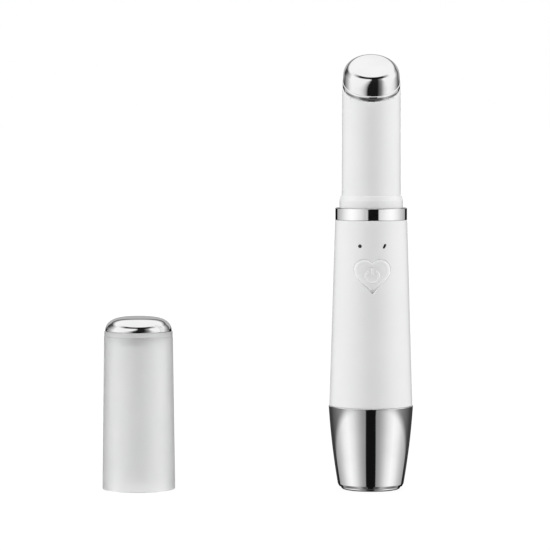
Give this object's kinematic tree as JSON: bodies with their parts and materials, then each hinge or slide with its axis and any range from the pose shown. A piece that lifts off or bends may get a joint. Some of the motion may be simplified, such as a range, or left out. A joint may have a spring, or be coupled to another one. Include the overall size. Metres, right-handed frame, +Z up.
{
  "type": "facial massage wand",
  "caption": "Slim upright facial wand with a slanted metal contact head, heart-shaped power button, chrome base and a translucent pull-off cap.",
  "frame": {"origin": "centre of the wand's flat base face", "axes": "+Z up along the wand to its head, -Y out of the front where the button and the slanted face look, +X to the right; the cap stands at -X"},
  "size_m": [0.1027, 0.0278, 0.1438],
  "materials": {
    "chrome": "mirror-bright chrome plating",
    "white_plastic": "glossy white moulded plastic",
    "frosted_plastic": "frosted translucent plastic",
    "smoked_window": "dark lamp window",
    "heater_film": "amber film",
    "black_epoxy": "moulded epoxy",
    "spring_bronze": "spring strip",
    "grey_rubber": "soft rubber",
    "bright_steel": "plated steel",
    "heavy_brass": "turned weight",
    "black_plastic": "moulded black plastic",
    "stem_plastic": "moulded plunger",
    "frame_plastic": "moulded white frame",
    "cell_sleeve": "shrink sleeve on a cell",
    "foam": "foam pad",
    "green_board": "circuit board",
    "lamp_resin": "lamp resin",
    "copper_coil": "enamelled winding",
    "capacitor_can": "can",
    "lead_red": "insulated wire",
    "lead_white": "insulated wire",
    "lead_black": "insulated wire"
  },
  "bodies": {
    "wand": {"massage_head": "chrome", "chrome_band": "chrome", "base_sleeve": "chrome", "bottom_plug": "chrome", "handle_shell": "white_plastic", "upper_housing": "white_plastic", "left_light_pipe": "smoked_window", "right_light_pipe": "smoked_window", "heater_pad": "heater_film", "temperature_sensor": "black_epoxy", "control_chip": "black_epoxy", "charge_chip": "black_epoxy", "electrode_contact": "spring_bronze", "motor_holder": "grey_rubber", "motor_can": "bright_steel", "board_screws": "bright_steel", "socket_screws": "bright_steel", "socket_shell": "bright_steel", "motor_end_cap": "black_plastic", "socket_tongue": "black_plastic", "power_switch": "black_plastic", "inner_frame": "frame_plastic", "battery_cell": "cell_sleeve", "battery_pad": "foam", "main_board": "green_board", "socket_board": "green_board", "left_led": "lamp_resin", "right_led": "lamp_resin", "step_up_coil": "copper_coil", "board_capacitors": "capacitor_can", "battery_leads": "lead_red", "socket_leads": "lead_red", "heater_leads": "lead_white", "sensor_leads": "lead_white", "motor_leads": "lead_black", "electrode_lead": "lead_black"},
    "button": {"power_button": "white_plastic"},
    "stem": {"switch_stem": "stem_plastic"},
    "rotor": {"motor_shaft": "bright_steel", "eccentric_weight": "heavy_brass"},
    "cap": {"cap_shell": "frosted_plastic", "cap_ring": "frosted_plastic", "cap_dome": "chrome"}
  },
  "joints": [
    {"name": "power_button_press", "type": "slide", "parent": "wand", "child": "button", "axis": [0, 1, 0], "range_m": [0, 0.0004], "stiffness_N_per_m": 1500, "springref_m": -0.0004},
    {"name": "switch_stem_press", "type": "slide", "parent": "wand", "child": "stem", "axis": [0, 1, 0], "range_m": [0, 0.0004]},
    {"name": "motor_spin", "type": "hinge", "parent": "wand", "child": "rotor", "pos_m": [0, 0, 0.11], "axis": [0, 0, 1], "continuous": true},
    {"name": "cap_lift", "type": "slide", "parent": "wand", "child": "cap", "axis": [0, 0, 1], "range_m": [0, 0.06]}
  ],
  "couplings": [
    {"joint": "switch_stem_press", "follows": "power_button_press", "ratio": 1}
  ]
}
